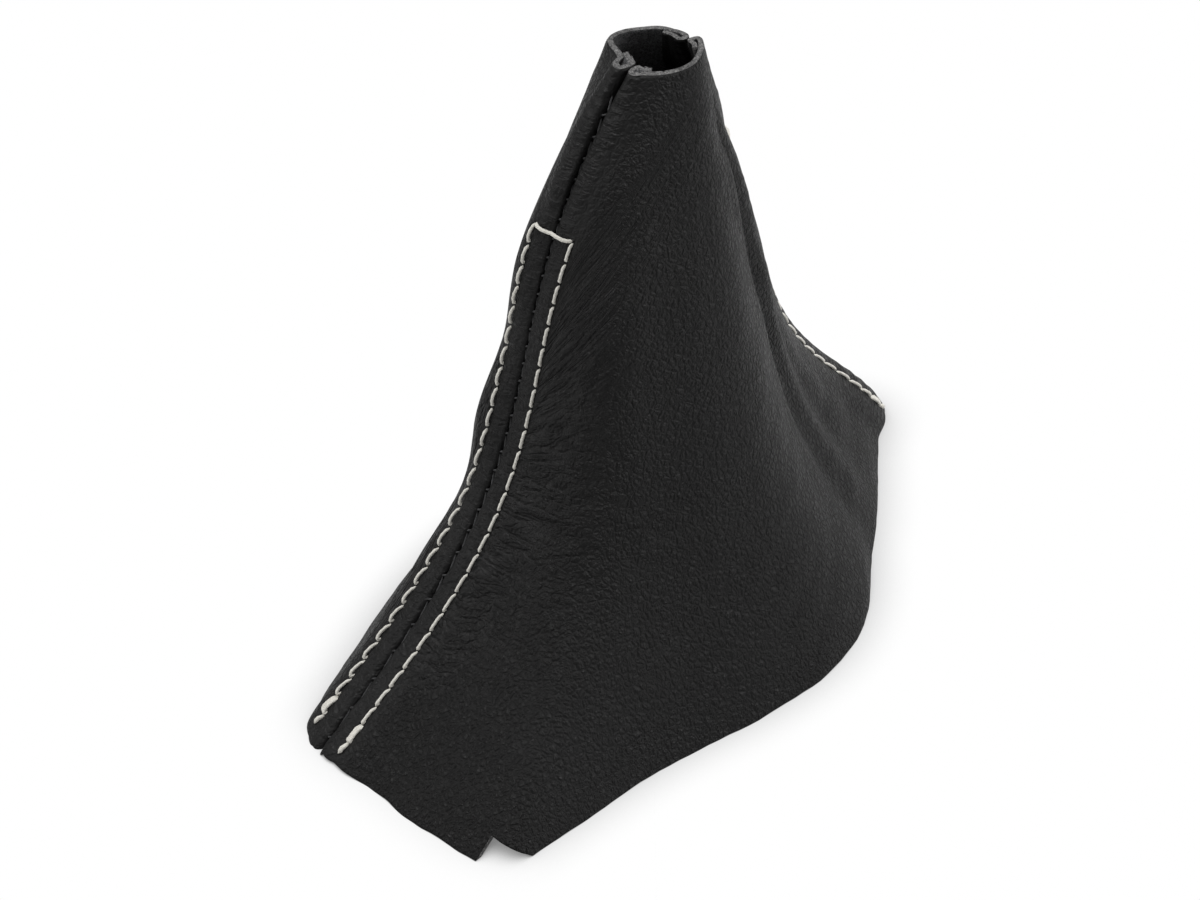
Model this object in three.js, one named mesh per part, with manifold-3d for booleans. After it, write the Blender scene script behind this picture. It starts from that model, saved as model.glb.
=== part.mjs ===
// Gear lever gaiter: two soft leather panels sewn together along two seams. The wide base edge stands on
// the ground, and the walls draw in over a waist to a small round neck that grips the lever. Both ends are open.
// Millimetres, +Z up. The finished model's origin is the middle of its footprint, on the ground.
import * as THREE from 'three';
import { ParametricGeometry } from 'three/addons/geometries/ParametricGeometry.js';
import { mergeGeometries, mergeVertices } from 'three/addons/utils/BufferGeometryUtils.js';
import Module from 'manifold-3d';

// Overall size. X runs along the base from the front seam to the tail seam. The main panel is on the -Y side.
const HEIGHT = 147;
const BASE_LENGTH = 197.5;
const FRONT_WIDTH = 63; // from the seams' plane out to the notched corner
const FRONT_BOW = 3.2; // how far the edge between the front seam and that corner bows out
const SIDE_FLARE = 5.5; // how much farther out the widest place of the main panel's long side is
const SIDE_STRAIGHT = 36; // where along X the long side starts to widen
const SIDE_REACH = 100; // where along X it is widest
const SIDE_TURN = 43; // length of the rounded corner after it
const SIDE_BULGE = 0.5; // how far the edge from there to the tail seam bows out
const CORNER_ROUND = 5; // the notched corner, at the base edge
const CORNER_ROUND_ABOVE = 40; // the same corner once it has eased off
const CORNER_EASE = 0.3; // share of the height over which it eases off
const TAIL_STRIP = 4; // half of the blunt end that the tail seam runs down to
const REAR_STRIP = 10; // the rear panel's flat strip beside the front seam, at the base
const REAR_BOW = 38; // from the seams' plane out to the rear panel's middle

// The neck is a circle. Its angles are counted from +X, counterclockwise seen from above.
const NECK_RADIUS = 10.2;
const NECK_X = 119;
const NECK_Y = 6;
const FRONT_SEAM_ANGLE = 193.5;
const TAIL_SEAM_ANGLE = -22;

// The waist pulls the wall in, by this share of the way from the base edge to the neck.
const FRONT_WAIST = 0.23;
const TAIL_WAIST = 0.158;
const SIDE_WAIST = 0.112;
const WAIST_LEVEL = 0.3; // share of the height at which it is narrowest
const FRONT_SHARPNESS = 1.15; // how closely the waist keeps to that level, at the front seam
const TAIL_SHARPNESS = 2.05;
const LEAN = 3.6; // how far the upper half leans back over the front seam
const TAIL_DRIFT = 4; // how far the wall at the tail seam sways to the rear panel's side, halfway up
const TAIL_SPREAD = 0.6; // share of a panel's width, counted from the front seam, at which that starts

// The rear panel puffs out beside the front seam.
const PUFF = 3.3;
const PUFF_SPREAD = 0.19; // share of the rear panel's width

// Soft folds that fan down from the tail seam's waist, on the main panel.
const FOLD_COUNT = 2;
const FOLD_DEPTH = 1.6;
const FOLD_SPREAD = 0.2; // share of the panel's width that the folds cover
const FOLD_MIDDLE = 0.8; // where their middle is, from the front seam to the tail seam

// Leather, and how its edges are turned in at the seams.
const LEATHER = 1.3;
const LAYER_GAP = 0.2; // between the turned-in allowance and the panel over it
const SEAM_GAP = 0.3; // between the two turned edges
const ALLOWANCE = 8.5;
const STEP_WIDTH = 10; // over which the panel steps down past the end of the allowance
const BRIDGE_START = 0.75; // share of the height from which it steps down less and less, not at all at the neck
const STRIP_SHARE = 0.42; // the most of a narrow panel's width that the doubled strip at one seam takes up
const ROLL = 0.45; // how far the leather puffs up between the seam and its stitch row
const NOTCH_DEPTH = 4.5;
const NOTCH_WIDTH = 11;
const NOTCH_PLACE = 3.3; // how far its middle is along the edge past the corner

// Threads.
const TOP_THREAD = 0.8;
const SEAM_THREAD = 0.5;
const THREAD_CLEARANCE = 0.3;
const SEAM_THREAD_CLEARANCE = 0.15;
const ROW_OFFSET = 6; // from the seam to each row of top stitches
const STITCH_PITCH = 5.6;
const STITCH_ARCH = 0.4; // how far a stitch stands up between its holes
const TOP_STITCH_HEIGHT = 112; // the cross stitch that joins the two rows
const LOW_STITCH_HEIGHT = 3.5;

// Fineness of the meshes.
const LEVELS = 20;
const SECTION_POINTS = 60;
const MAIN_COLUMNS = 24;
const REAR_COLUMNS = 15;
const FOLD_STEPS = 5;
const THREAD_SIDES = 5;
const RINGS_PER_STITCH = 3;

const SIDE_WIDTH = FRONT_WIDTH + SIDE_FLARE;
const LAYERS = LEATHER + LAYER_GAP; // how far the turned-in allowance lifts the panel over it
const BEND = LEATHER + LAYER_GAP / 2; // outer radius of a turned edge
const BEND_START = SEAM_GAP / 2 + BEND; // distance of that bend's centre from the seam

const leather = new THREE.MeshStandardMaterial({ color: 0x1b1b1c, roughness: 0.6, metalness: 0 });
const whiteThread = new THREE.MeshStandardMaterial({ color: 0xe4e0d6, roughness: 0.7, metalness: 0 });
const blackThread = new THREE.MeshStandardMaterial({ color: 0x151515, roughness: 0.7, metalness: 0 });

const radians = THREE.MathUtils.degToRad;

/**
 * The main panel's base edge, from the front seam round the notched corner to the tail seam. The edge before that
 * corner bows out less where the corner is rounder.
 */
function mainBaseEdge(cornerRound) {
    const sideCorner = new THREE.Vector2(SIDE_REACH + SIDE_TURN / 2, -SIDE_WIDTH);
    const tailCorner = new THREE.Vector2(BASE_LENGTH, -TAIL_STRIP);
    const side = tailCorner.clone().sub(sideCorner);
    const sideEnd = sideCorner.clone().addScaledVector(side, SIDE_TURN / 2 / side.x);
    const tailStart = tailCorner.clone().addScaledVector(side, -TAIL_STRIP / side.x);
    const bulge = new THREE.Vector2(side.y, -side.x).setLength(2 * SIDE_BULGE);
    const sideMiddle = sideEnd.clone().lerp(tailStart, 0.5).add(bulge);
    const edge = new THREE.Path();
    const bow = FRONT_BOW * CORNER_ROUND / cornerRound;
    const cornerX = -bow * 0.7;
    const frontEnd = cornerRound - FRONT_WIDTH;
    const straightEnd = Math.max(SIDE_STRAIGHT, cornerX + cornerRound);
    const widening = (straightEnd + SIDE_REACH) / 2;
    edge.moveTo(0, 0);
    edge.bezierCurveTo(
        -bow, frontEnd * 0.22,
        -bow * 1.3, frontEnd * 0.65,
        cornerX, frontEnd
    );
    edge.quadraticCurveTo(cornerX, -FRONT_WIDTH, cornerX + cornerRound, -FRONT_WIDTH);
    edge.lineTo(straightEnd, -FRONT_WIDTH);
    edge.bezierCurveTo(widening, -FRONT_WIDTH, widening, -SIDE_WIDTH, SIDE_REACH, -SIDE_WIDTH);
    edge.quadraticCurveTo(sideCorner.x, sideCorner.y, sideEnd.x, sideEnd.y);
    edge.quadraticCurveTo(sideMiddle.x, sideMiddle.y, tailStart.x, tailStart.y);
    edge.quadraticCurveTo(tailCorner.x, tailCorner.y, BASE_LENGTH, 0);
    return edge;
}

/** The rear panel's base edge, from the tail seam round the bowed back to the front seam. */
function rearBaseEdge() {
    const third = BASE_LENGTH / 3;
    const edge = new THREE.Path();
    edge.moveTo(BASE_LENGTH, 0);
    edge.quadraticCurveTo(BASE_LENGTH, TAIL_STRIP, BASE_LENGTH - TAIL_STRIP, TAIL_STRIP * 1.4);
    edge.bezierCurveTo(
        BASE_LENGTH - third / 2, REAR_BOW * 0.6,
        BASE_LENGTH - third, REAR_BOW,
        BASE_LENGTH / 2, REAR_BOW
    );
    edge.bezierCurveTo(
        third, REAR_BOW,
        third / 2, REAR_BOW * 0.65,
        REAR_STRIP * 1.2, REAR_STRIP * 1.5
    );
    edge.quadraticCurveTo(REAR_STRIP * 0.3, REAR_STRIP, REAR_STRIP * 0.15, REAR_STRIP / 2);
    edge.lineTo(0, 0);
    return edge;
}

/** A stretch of the neck's edge between two angles, counterclockwise. */
function neckEdge(from, to) {
    return new THREE.EllipseCurve(
        NECK_X, NECK_Y, NECK_RADIUS, NECK_RADIUS, radians(from), radians(to), false
    );
}

/** How much the waist pulls a wall in at a share of its height, 1 at the narrowest place. */
function waist(level, sharpness) {
    const fade = (1 - WAIST_LEVEL) / WAIST_LEVEL;
    return (level / WAIST_LEVEL * ((1 - level) / (1 - WAIST_LEVEL)) ** fade) ** sharpness;
}

/** How far the soft folds push the main panel out, at a share of its width and of its height. */
function folds(across, level) {
    const place = (across - FOLD_MIDDLE) / (FOLD_SPREAD / 2);
    if (Math.abs(place) >= 1) {
        return 0;
    }
    const window = Math.cos(place * Math.PI / 2) ** 2;
    return FOLD_DEPTH * window * Math.sin(place * Math.PI * FOLD_COUNT) * Math.sin(Math.PI * level ** 0.7);
}

/** How far the rear panel puffs out beside the front seam, at a share of its width and of its height. */
function puff(across, level) {
    const place = Math.min((1 - across) / PUFF_SPREAD, 1);
    return PUFF * Math.sin(Math.PI * place) ** 2 * Math.sin(Math.PI * level);
}

/**
 * A wall of the gaiter from one seam to the other. A place on it is given by the distance along its level
 * section from the first seam, by a share of the height, and by the distance out from its face.
 * towardsTail tells how near a share of its width is to the tail seam, from 0 at the front seam to 1.
 */
class Wall {
    constructor(baseEdge, easedBaseEdge, neckCurve, towardsTail, pushOut) {
        this.base = baseEdge.getSpacedPoints(SECTION_POINTS);
        this.easedBase = easedBaseEdge.getSpacedPoints(SECTION_POINTS);
        this.neck = neckCurve.getSpacedPoints(SECTION_POINTS);
        this.towardsTail = towardsTail;
        this.pushOut = pushOut;
        this.sections = new Map();
    }

    /** How far the waist pulls the wall in, at a share of its width and of its height. */
    pullIn(across, level) {
        const tailward = this.towardsTail(across);
        const atSeams = THREE.MathUtils.lerp(FRONT_WAIST, TAIL_WAIST, tailward);
        const depth = THREE.MathUtils.lerp(atSeams, SIDE_WAIST, Math.sin(Math.PI * across) ** 2);
        return depth * waist(level, THREE.MathUtils.lerp(FRONT_SHARPNESS, TAIL_SHARPNESS, tailward));
    }

    /** A point of the section at a level, before the folds. */
    blend(index, level) {
        const across = index / SECTION_POINTS;
        const ease = THREE.MathUtils.smoothstep(level, 0, CORNER_EASE);
        const foot = this.base[index].clone().lerp(this.easedBase[index], ease);
        const point = foot.lerp(this.neck[index], level + this.pullIn(across, level));
        const lean = LEAN * Math.sin(Math.PI * level ** 2);
        const tailShare = THREE.MathUtils.smoothstep(this.towardsTail(across), TAIL_SPREAD, 1);
        const drift = TAIL_DRIFT * tailShare * Math.sin(Math.PI * level);
        return new THREE.Vector3(point.x - lean, point.y + drift, HEIGHT * level);
    }

    /** The level section as a curve. */
    section(level) {
        if (!this.sections.has(level)) {
            const plain = Array.from({ length: SECTION_POINTS + 1 }, (_, i) => this.blend(i, level));
            const smooth = new THREE.CatmullRomCurve3(plain);
            const points = plain.map((point, index) => {
                const across = index / SECTION_POINTS;
                const along = smooth.getTangent(across);
                const out = new THREE.Vector3(along.y, -along.x, 0).normalize();
                return point.clone().addScaledVector(out, this.pushOut(across, level));
            });
            this.sections.set(level, new THREE.CatmullRomCurve3(points));
        }
        return this.sections.get(level);
    }

    width(level) {
        return this.section(level).getLength();
    }

    /** The outward direction. It lies level at the base and the neck, so that the edges are cut level. */
    outward(across, level) {
        const step = 0.004;
        const above = Math.min(level + step, 1);
        const below = Math.max(level - step, 0);
        const along = this.section(level).getTangentAt(across);
        const up = this.section(above).getPointAt(across).sub(this.section(below).getPointAt(across));
        const normal = along.cross(up).normalize();
        if (level === 0 || level === 1) {
            normal.z = 0;
            normal.divideScalar(normal.lengthSq());
        }
        return normal;
    }

    point(along, level, out) {
        const across = THREE.MathUtils.clamp(along / this.width(level), 0, 1);
        return this.section(level).getPointAt(across).addScaledVector(this.outward(across, level), out);
    }
}

/** Where the doubled strip beside a seam changes, as distances from it, trimmed where the panel is narrow. */
function stripPlaces(width) {
    const trim = Math.min(1, STRIP_SHARE * width / (ALLOWANCE + STEP_WIDTH));
    return { row: ROW_OFFSET * trim, allowance: ALLOWANCE * trim, end: (ALLOWANCE + STEP_WIDTH) * trim };
}

/** How far a place beside a seam is lifted: over the allowance, and near the neck also past it. */
function lift(fromSeam, strip, level) {
    const down = THREE.MathUtils.smoothstep(fromSeam, strip.allowance, strip.end);
    const bridged = THREE.MathUtils.smoothstep(level, BRIDGE_START, 1);
    const roll = fromSeam < strip.row ? Math.sin(Math.PI * fromSeam / strip.row) : 0;
    return LAYERS * (1 - down * (1 - bridged)) + ROLL * roll;
}

/** The distances from the first seam at which the panel's faces have points. */
function columns(width, count) {
    const { row, allowance, end } = stripPlaces(width);
    const strip = [BEND_START, (BEND_START + row) / 2, row, allowance, (allowance + end) / 2, end];
    const middle = Array.from({ length: count - 1 }, (_, i) => end + (width - 2 * end) * (i + 1) / count);
    return [...strip, ...middle, ...strip.map((place) => width - place).reverse()];
}

/** A turned edge seen in section, as pairs of distance from the seam and height out from the wall. */
function bend(radius) {
    return Array.from({ length: FOLD_STEPS + 1 }, (_, step) => {
        const angle = Math.PI * step / FOLD_STEPS;
        return [BEND_START - radius * Math.sin(angle), LAYERS - BEND - radius * Math.cos(angle)];
    });
}

/** The closed section of a panel: its face, its two turned edges, and the back of all three. */
function panelProfile(width, level, count) {
    const face = columns(width, count);
    const strip = stripPlaces(width);
    const rise = (place) => lift(Math.min(place, width - place), strip, level);
    const mirror = (points) => points.map(([place, out]) => [width - place, out]).reverse();
    const allowance = [strip.allowance, (strip.allowance + BEND_START) / 2];
    const outer = [...allowance.map((place) => [place, -LEATHER]), ...bend(BEND)];
    const inner = [...allowance.map((place) => [place, 0]), ...bend(LAYER_GAP / 2)];
    const inside = face.slice(1, -1);
    return [
        ...outer,
        ...inside.map((place) => [place, rise(place)]),
        ...mirror(outer),
        ...mirror(inner).reverse(),
        ...inside.map((place) => [place, rise(place) - LEATHER]).reverse(),
        ...inner.reverse()
    ];
}

/** A surface through a grid of points, grid[u][v]. */
function gridSurface(grid) {
    const slices = grid.length - 1;
    const stacks = grid[0].length - 1;
    const pick = (u, v, target) => target.copy(grid[Math.round(u * slices)][Math.round(v * stacks)]);
    return new ParametricGeometry(pick, slices, stacks);
}

/** One closed body from surfaces that share their edges. */
function closedBody(surfaces) {
    const joined = mergeGeometries(surfaces);
    joined.deleteAttribute('normal');
    joined.deleteAttribute('uv');
    const body = mergeVertices(joined, 1e-3);
    body.computeVertexNormals();
    return body;
}

/** A share of the height for each level of the mesh, closer together where the base flares out. */
function meshLevels() {
    return Array.from({ length: LEVELS + 1 }, (_, i) => (i / LEVELS) ** 1.25);
}

/** A leather panel, with both its side edges turned in and its base and neck edges cut level. */
function panelGeometry(wall, count) {
    const rows = meshLevels().map((level) => {
        const profile = panelProfile(wall.width(level), level, count);
        return profile.map(([place, out]) => wall.point(place, level, out));
    });
    const size = rows[0].length;
    const around = Array.from({ length: size + 1 }, (_, i) => rows.map((row) => row[i % size]));
    const cutEdge = (row) => Array.from({ length: size / 2 }, (_, i) => [row[i], row[size - 1 - i]]);
    const baseEdge = cutEdge(rows[0]).map((pair) => pair.reverse());
    const neckEdge = cutEdge(rows.at(-1));
    return closedBody([around, baseEdge, neckEdge].map(gridSurface));
}

/** A wedge that stands across the wall at the notched corner, its point up. */
function notchWedge(wall) {
    const across = (FRONT_WIDTH + NOTCH_PLACE) / wall.width(0);
    const place = wall.section(0).getPointAt(across);
    const outward = wall.outward(across, 0).normalize();
    const reach = NOTCH_WIDTH;
    const slope = (NOTCH_WIDTH / 2) / NOTCH_DEPTH;
    const below = LEATHER;
    const outline = new THREE.Shape();
    outline.moveTo(-NOTCH_WIDTH / 2 - below * slope, -below);
    outline.lineTo(NOTCH_WIDTH / 2 + below * slope, -below);
    outline.lineTo(0, NOTCH_DEPTH);
    outline.closePath();
    const wedge = new THREE.ExtrudeGeometry(outline, { depth: 2 * reach, bevelEnabled: false });
    wedge.translate(0, 0, -reach);
    wedge.rotateX(Math.PI / 2);
    wedge.rotateZ(Math.atan2(outward.y, outward.x) + Math.PI / 2);
    wedge.translate(place.x, place.y, 0);
    return closedBody([wedge]);
}

const wasm = await Module();
wasm.setup();

function toManifold(geometry) {
    return new wasm.Manifold(new wasm.Mesh({
        numProp: 3,
        vertProperties: new Float32Array(geometry.attributes.position.array),
        triVerts: new Uint32Array(geometry.index.array)
    }));
}

/** What is left of one closed body after another is cut out of it. */
function cut(body, tool) {
    const mesh = toManifold(body).subtract(toManifold(tool)).getMesh();
    const geometry = new THREE.BufferGeometry();
    geometry.setAttribute('position', new THREE.BufferAttribute(mesh.vertProperties, 3));
    geometry.setIndex(new THREE.BufferAttribute(mesh.triVerts, 1));
    geometry.computeVertexNormals();
    return geometry;
}

/** The places beside a seam, on a wall that starts or ends there. */
function seamSide(wall, wallStartsHere) {
    return (fromSeam, level, out) => {
        const along = wallStartsHere ? fromSeam : wall.width(level) - fromSeam;
        return wall.point(along, level, out);
    };
}

/** Levels from a stitch row's low end to its top, a stitch apart. */
function stitchLevels(side) {
    const bottom = LOW_STITCH_HEIGHT / HEIGHT;
    const top = TOP_STITCH_HEIGHT / HEIGHT;
    const samples = Array.from({ length: SECTION_POINTS + 1 }, (_, i) => {
        return side(ROW_OFFSET, THREE.MathUtils.lerp(bottom, top, i / SECTION_POINTS), 0);
    });
    const row = new THREE.CatmullRomCurve3(samples);
    const count = Math.round(row.getLength() / STITCH_PITCH);
    return row.getSpacedPoints(count).map((point) => point.z / HEIGHT);
}

/** A tube of thread through points. */
function threadGeometry(points, diameter, steps) {
    const round = Array.from({ length: THREAD_SIDES }, (_, side) => {
        const angle = 2 * Math.PI * side / THREAD_SIDES;
        return new THREE.Vector2(Math.cos(angle), Math.sin(angle)).multiplyScalar(diameter / 2);
    });
    const path = new THREE.CatmullRomCurve3(points, false, 'chordal');
    return closedBody([new THREE.ExtrudeGeometry(new THREE.Shape(round), { steps, extrudePath: path })]);
}

/** The points between the tops of the two rows of a seam, at a height out from the wall. */
function crossStitch(right, left, out) {
    const top = TOP_STITCH_HEIGHT / HEIGHT;
    return [right(ROW_OFFSET / 2, top, out), right(0, top, out), left(ROW_OFFSET / 2, top, out)];
}

/** Both top-stitch rows of a seam and the cross stitch that joins them, as one needle thread. */
function topThread(right, left) {
    const rest = THREAD_CLEARANCE + TOP_THREAD / 2;
    const row = (side) => {
        const levels = stitchLevels(side);
        return levels.flatMap((level, index) => {
            const hole = side(ROW_OFFSET, level, LAYERS + rest);
            if (index === levels.length - 1) {
                return [hole];
            }
            const middle = (level + levels[index + 1]) / 2;
            return [hole, side(ROW_OFFSET, middle, LAYERS + rest + STITCH_ARCH)];
        });
    };
    const across = crossStitch(right, left, LAYERS + ROLL + rest);
    const points = [...row(right), ...across, ...row(left).reverse()];
    return threadGeometry(points, TOP_THREAD, RINGS_PER_STITCH * (points.length - 1) / 2);
}

/** The bobbin thread of the same rows, on the inside. */
function underThread(right, left) {
    const depth = -LEATHER - THREAD_CLEARANCE - SEAM_THREAD / 2;
    const row = (side) => stitchLevels(side).map((level) => side(ROW_OFFSET, level, depth));
    const points = [...row(right), ...crossStitch(right, left, depth), ...row(left).reverse()];
    return threadGeometry(points, SEAM_THREAD, points.length - 1);
}

/** The thread that sews the two turned edges together, low in the groove between them. */
function seamThread(right, left) {
    const reach = BEND + SEAM_THREAD / 2 + SEAM_THREAD_CLEARANCE;
    const out = LAYERS - BEND + Math.sqrt(reach ** 2 - BEND_START ** 2);
    const points = meshLevels().slice(1, -1).map((level) => {
        return right(0, level, out).lerp(left(0, level, out), 0.5);
    });
    return threadGeometry(points, SEAM_THREAD, points.length - 1);
}

const mainWall = new Wall(
    mainBaseEdge(CORNER_ROUND),
    mainBaseEdge(CORNER_ROUND_ABOVE),
    neckEdge(FRONT_SEAM_ANGLE, TAIL_SEAM_ANGLE),
    (across) => across,
    folds
);
const rearWall = new Wall(
    rearBaseEdge(),
    rearBaseEdge(),
    neckEdge(TAIL_SEAM_ANGLE, FRONT_SEAM_ANGLE),
    (across) => 1 - across,
    puff
);

const gaiter = new THREE.Group();

function addPiece(name, geometry, material) {
    const mesh = new THREE.Mesh(geometry, material);
    mesh.name = name;
    gaiter.add(mesh);
}

addPiece('main_panel', cut(panelGeometry(mainWall, MAIN_COLUMNS), notchWedge(mainWall)), leather);
addPiece('rear_panel', panelGeometry(rearWall, REAR_COLUMNS), leather);

const seams = {
    front: [seamSide(mainWall, true), seamSide(rearWall, false)],
    tail: [seamSide(rearWall, true), seamSide(mainWall, false)]
};
for (const [place, [right, left]] of Object.entries(seams)) {
    addPiece(`${place}_top_thread`, topThread(right, left), whiteThread);
    addPiece(`${place}_under_thread`, underThread(right, left), blackThread);
    addPiece(`${place}_seam_thread`, seamThread(right, left), blackThread);
}

const bounds = new THREE.Box3().setFromObject(gaiter);
const middle = bounds.getCenter(new THREE.Vector3());
gaiter.position.set(-middle.x, -middle.y, 0);

export default gaiter;
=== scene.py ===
"""Gear lever gaiter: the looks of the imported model, in its frame.

Sizes are in millimetres and become metres where a mesh is made. Those that the CAD source has too are under
the same names.
"""
import math

import bpy
import numpy as np
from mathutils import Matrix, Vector


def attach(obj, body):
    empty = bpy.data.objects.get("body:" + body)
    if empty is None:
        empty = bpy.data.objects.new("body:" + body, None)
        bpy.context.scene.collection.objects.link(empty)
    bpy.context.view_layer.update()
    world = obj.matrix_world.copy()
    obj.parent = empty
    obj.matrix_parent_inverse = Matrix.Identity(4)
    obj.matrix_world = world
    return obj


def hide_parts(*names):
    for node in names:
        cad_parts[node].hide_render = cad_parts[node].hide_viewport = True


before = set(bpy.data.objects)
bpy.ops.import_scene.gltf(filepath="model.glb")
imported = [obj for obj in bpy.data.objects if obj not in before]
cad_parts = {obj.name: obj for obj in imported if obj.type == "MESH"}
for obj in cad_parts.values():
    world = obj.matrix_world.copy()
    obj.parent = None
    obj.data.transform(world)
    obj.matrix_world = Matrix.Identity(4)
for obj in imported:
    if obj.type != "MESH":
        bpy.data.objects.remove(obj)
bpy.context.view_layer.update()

MM = 0.001

# The form, as in the CAD source.
HEIGHT = 147
BASE_LENGTH = 197.5
FRONT_WIDTH = 63
FRONT_BOW = 3.2
SIDE_FLARE = 5.5
SIDE_STRAIGHT = 36
SIDE_REACH = 100
SIDE_TURN = 43
SIDE_BULGE = 0.5
CORNER_ROUND = 5
CORNER_ROUND_ABOVE = 40
CORNER_EASE = 0.3
TAIL_STRIP = 4
REAR_STRIP = 10
REAR_BOW = 38
NECK_RADIUS = 10.2
NECK_X = 119
NECK_Y = 6
FRONT_SEAM_ANGLE = 193.5
TAIL_SEAM_ANGLE = -22
FRONT_WAIST = 0.23
TAIL_WAIST = 0.158
SIDE_WAIST = 0.112
WAIST_LEVEL = 0.3
FRONT_SHARPNESS = 1.15
TAIL_SHARPNESS = 2.05
LEAN = 3.6
TAIL_DRIFT = 4
TAIL_SPREAD = 0.6
PUFF = 3.3
PUFF_SPREAD = 0.19
FOLD_COUNT = 2
FOLD_DEPTH = 1.6
FOLD_SPREAD = 0.2
FOLD_MIDDLE = 0.8
LEATHER = 1.3
LAYER_GAP = 0.2
SEAM_GAP = 0.3
ALLOWANCE = 8.5
STEP_WIDTH = 10
BRIDGE_START = 0.75
STRIP_SHARE = 0.42
ROLL = 0.45
NOTCH_DEPTH = 4.5
NOTCH_WIDTH = 11
NOTCH_PLACE = 3.3
TOP_THREAD = 0.8
SEAM_THREAD = 0.5
ROW_OFFSET = 6
STITCH_PITCH = 5.6
TOP_STITCH_HEIGHT = 112
LOW_STITCH_HEIGHT = 3.5
ORIGIN = (97.31809, -15.30635)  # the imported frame's origin, counted from the foot of the front seam

SIDE_WIDTH = FRONT_WIDTH + SIDE_FLARE
LAYERS = LEATHER + LAYER_GAP
BEND = LEATHER + LAYER_GAP / 2
BEND_START = SEAM_GAP / 2 + BEND

# What the looks add.
NECK_FLAT = 2.3  # how far the rear panel's rim is pressed flat beside the front seam
FLAT_SHARE = 0.36  # share of that rim
NECK_PRESS = 2.8  # how far the neck is pressed in on its far side
NECK_TURN = 1.2  # how far the main panel's rim turns in at the tail seam
NECK_REACH = 0.14  # share of the height over which all that fades
NECK_DIP = 0.5  # how far the neck's cut edge has sunk
TAIL_TUCK = 2.6  # how far the tail seam is drawn to the rear
TUCK_SPREAD = 0.88  # where that starts, as a share of the way to the tail seam
TUCK_LOW = (12, 24)  # the heights between which it sets in, and between which it ends
TUCK_HIGH = (128, 108)
TAIL_BULGE = 2.3  # how far the main panel stands out beside it
BULGE_PLACE = 19
BULGE_REACH = 15
SLACK_DEPTH = 0.9  # how far the rear panel hangs in beside the front seam
SLACK_SWING = 1.4  # how much that changes with the height
SLACK_DEEPEST = 84
SLACK_PITCH = 44
SLACK_HEIGHT = 62
SLACK_REACH = 66
EDGE_RISE = 0.5  # how far the base edge beside the front seam is off the ground
EDGE_RISE_LENGTH = 16
EDGE_RISE_FADE = 9
RAGGED_FOOT = 0.12  # how unevenly the edges are cut
RAGGED_RIM = 0.3
FOOT_REACH = 14  # how far up a change of the base edge's height reaches
RIM_REACH = 12  # how far down a change of the neck edge's height reaches
OPEN_ROLL = 2.2  # how much fuller the rear panel's roll is above the cross stitch
PLAIN_ROLL = 0.3  # the same of the other rolls
STITCH_TROUGH = 0.16  # how far a row of stitches presses the leather down
TROUGH_REACH = 1.3
QUILT = 0.1  # how far each stitch draws in the roll beside it
PULL = 0.16  # how far the dark seam draws in the turned edges
PULL_REACH = 1.5
PULL_PITCH = 4.5
HOLE_RADIUS = 0.55
WRINKLES_LOW = (14, 28)  # the heights between which the wrinkles beside the front seam set in
WRINKLES_HIGH = (104, 78)  # those between which they end
FAN_DEPTH = 0.8
FAN_REACH = 13  # on the main panel, where they fan out
UPRIGHT_REACH = 14  # on the rear panel, where they stand upright
FAN_HEIGHTS = (40, 52, 60, 67, 80, 95)  # where they leave the seam, and how steeply they climb from there
FAN_SLOPES = (0.05, 0.15, 0.4, 0.85, 1.7, 3.0)
FAN_WIDTH = 80
CREASE_DEPTH = 0.96
CREASE_PATH = ((6, 50), (17, 49.5), (28, 51.5), (35, 50), (51, 44), (77, 33.5), (95, 26))
HIGH_CREASE_DEPTH = 0.352
HIGH_CREASE_PATH = ((20, 70), (31, 64.5), (68, 45), (90, 36))
SWELL = 0.35
RIPPLE = 0.07
LINE_SPACING = 2.6  # of the fine wrinkles
LINE_LENGTH = 9
GRAIN_DEPTH = 0.38
LINE_DEPTH = 0.75
HOLE_DEPTH = 0.5
PORE_DEPTH = 0.06

# Fineness.
SECTION_POINTS = 901
LEVELS = 228
BEND_STEPS = 9
FAN_ROWS = 295
ROW_STEP = 0.45
NOTCH_ROWS = 24

ACROSS = np.linspace(0, 1, SECTION_POINTS)


def smoothstep(x):
    x = np.clip(x, 0, 1)
    return x * x * (3 - 2 * x)


def fade(x, start, end):
    """0 before start and 1 past end, with a soft step between. The end may be the lower one."""
    return smoothstep((x - start) / (end - start))


def hump(x):
    """1 at x = 0, falling softly to 0 at x = -1 and x = 1."""
    return np.where(np.abs(x) < 1, (1 - np.minimum(x * x, 1)) ** 2, 0.0)


def bezier(*points, count=200):
    t = np.linspace(0, 1, count)[:, None]
    stage = [np.array(p, float) * np.ones_like(t) for p in points]
    while len(stage) > 1:
        stage = [a + (b - a) * t for a, b in zip(stage, stage[1:])]
    return stage[0]


def respaced(line, count=SECTION_POINTS):
    """Points evenly spaced along a line."""
    steps = np.linalg.norm(np.diff(line, axis=0), axis=1)
    reached = np.concatenate([[0], np.cumsum(steps)])
    places = np.linspace(0, reached[-1], count)
    return np.stack([np.interp(places, reached, line[:, i]) for i in range(line.shape[1])], axis=1)


def outward(line):
    """The directions that point out from a level section."""
    along = np.gradient(line, axis=0)
    along /= np.linalg.norm(along, axis=1)[:, None]
    return np.stack([along[:, 1], -along[:, 0]], axis=1)


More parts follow.
